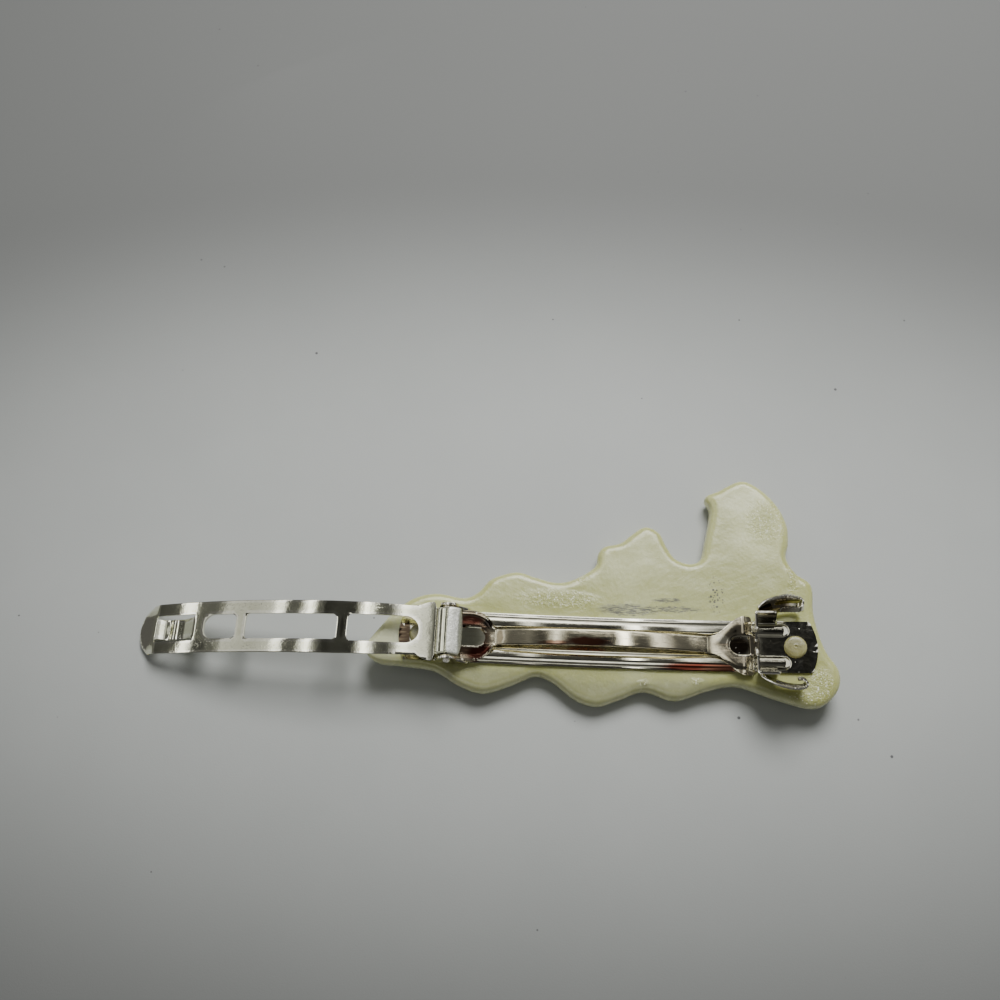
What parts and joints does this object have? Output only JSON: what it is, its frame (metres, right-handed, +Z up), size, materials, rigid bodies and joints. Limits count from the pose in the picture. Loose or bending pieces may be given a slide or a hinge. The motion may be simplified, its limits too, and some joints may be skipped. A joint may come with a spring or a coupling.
{
  "type": "french barrette",
  "caption": "Wavy moulded hair barrette lying on its front, with a bowed steel clip, an arched windowed arm swung open on its hinge, a tension bar and a squeeze catch",
  "frame": {"origin": "On the surface it lies on, on the flat spot of the ornament's front, under the middle of the base plate", "axes": "X runs along the clip from hinge to catch, Y across it towards the ornament's taller side, Z up from the front of the ornament to the back of the clip"},
  "size_m": [0.137, 0.0469, 0.0111],
  "materials": {
    "ornament": "gloss",
    "base_plate": "polished nickel plate",
    "tension_bar": "polished nickel plate",
    "clasp_arm": "polished nickel plate with fine scratches",
    "hinge_pin": "satin"
  },
  "bodies": {
    "clip": {"ornament": "ornament", "base_plate": "base_plate", "tension_bar": "tension_bar", "hinge_pin": "hinge_pin"},
    "arm": {"clasp_arm": "clasp_arm"}
  },
  "joints": [
    {"name": "arm_hinge", "type": "hinge", "parent": "clip", "child": "arm", "pos_m": [-0.03036, 0, 0.00878], "axis": [0, 1, 0], "range_deg": [0, 184.7], "deforming": ["tension_bar"]}
  ]
}
